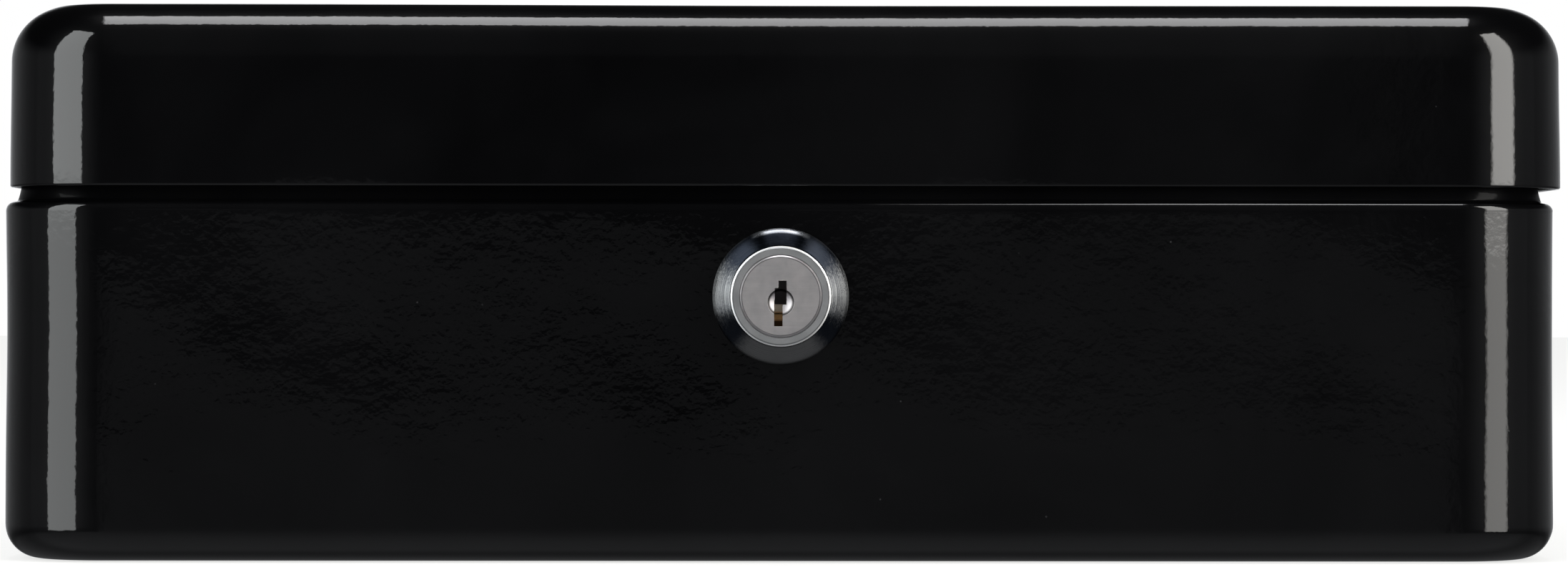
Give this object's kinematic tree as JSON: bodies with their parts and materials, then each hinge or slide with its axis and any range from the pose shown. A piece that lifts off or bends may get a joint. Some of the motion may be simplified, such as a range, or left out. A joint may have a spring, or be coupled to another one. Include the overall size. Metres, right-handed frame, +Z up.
{
  "type": "lockable cash box",
  "caption": "Lockable steel cash box with a hinged lid, key lock, folding carry handle and a lift-out coin tray.",
  "frame": {"origin": "centre of the flat underside of the body", "axes": "+Z up, -Y towards the front with the lock, +X to the right seen from the front, +Y towards the hinges"},
  "size_m": [0.251, 0.1926, 0.089],
  "materials": {
    "black_enamel": "gloss black powder coat",
    "lock_chrome": "polished nickel-chrome plate",
    "lock_plug_metal": "satin plated die casting",
    "handle_chrome": "bright chrome plate",
    "zinc_steel": "bright zinc plate",
    "spring_steel": "bare spring steel",
    "wafer_brass": "stamped brass",
    "tray_plastic": "fine-textured black moulding"
  },
  "bodies": {
    "base": {"base_shell": "black_enamel", "tray_rail_left": "black_enamel", "tray_rail_right": "black_enamel", "hinge_leaf_base_left": "zinc_steel", "hinge_leaf_base_right": "zinc_steel", "hinge_pin_left": "zinc_steel", "hinge_pin_right": "zinc_steel", "lock_housing": "lock_chrome", "lock_rosette": "lock_chrome", "lock_nut": "zinc_steel", "lock_washer": "zinc_steel"},
    "lid": {"lid_shell": "black_enamel", "hinge_leaf_lid_left": "zinc_steel", "hinge_leaf_lid_right": "zinc_steel", "lid_catch": "zinc_steel", "handle_bracket_left": "handle_chrome", "handle_bracket_right": "handle_chrome", "handle_rivets": "zinc_steel"},
    "handle": {"carry_handle": "handle_chrome"},
    "lock_core": {"lock_plug": "lock_plug_metal", "wafer_springs": "spring_steel", "plug_retaining_clip": "spring_steel", "stop_washer": "zinc_steel", "lock_cam": "zinc_steel", "cam_washer": "zinc_steel", "cam_screw": "zinc_steel"},
    "tumblers": {"wafer_tumblers": "wafer_brass"},
    "tray": {"coin_tray": "tray_plastic"}
  },
  "joints": [
    {"name": "lid_hinge", "type": "hinge", "parent": "base", "child": "lid", "pos_m": [0, 0.0928, 0.05645], "axis": [-1, 0, 0], "range_deg": [0, 105]},
    {"name": "handle_fold", "type": "hinge", "parent": "lid", "child": "handle", "pos_m": [0.001, 0.015, 0.0827], "axis": [-1, 0, 0], "range_deg": [0, 140]},
    {"name": "lock_turn", "type": "hinge", "parent": "base", "child": "lock_core", "pos_m": [0, -0.0755, 0.0422], "axis": [0, -1, 0], "range_deg": [0, 90]},
    {"name": "wafer_slide", "type": "slide", "parent": "lock_core", "child": "tumblers", "axis": [0, 0, 1], "range_m": [0, 0.0007], "deforming": ["wafer_springs"]},
    {"name": "tray_lift", "type": "slide", "parent": "base", "child": "tray", "axis": [0, 0, 1], "range_m": [0, 0.012]}
  ]
}
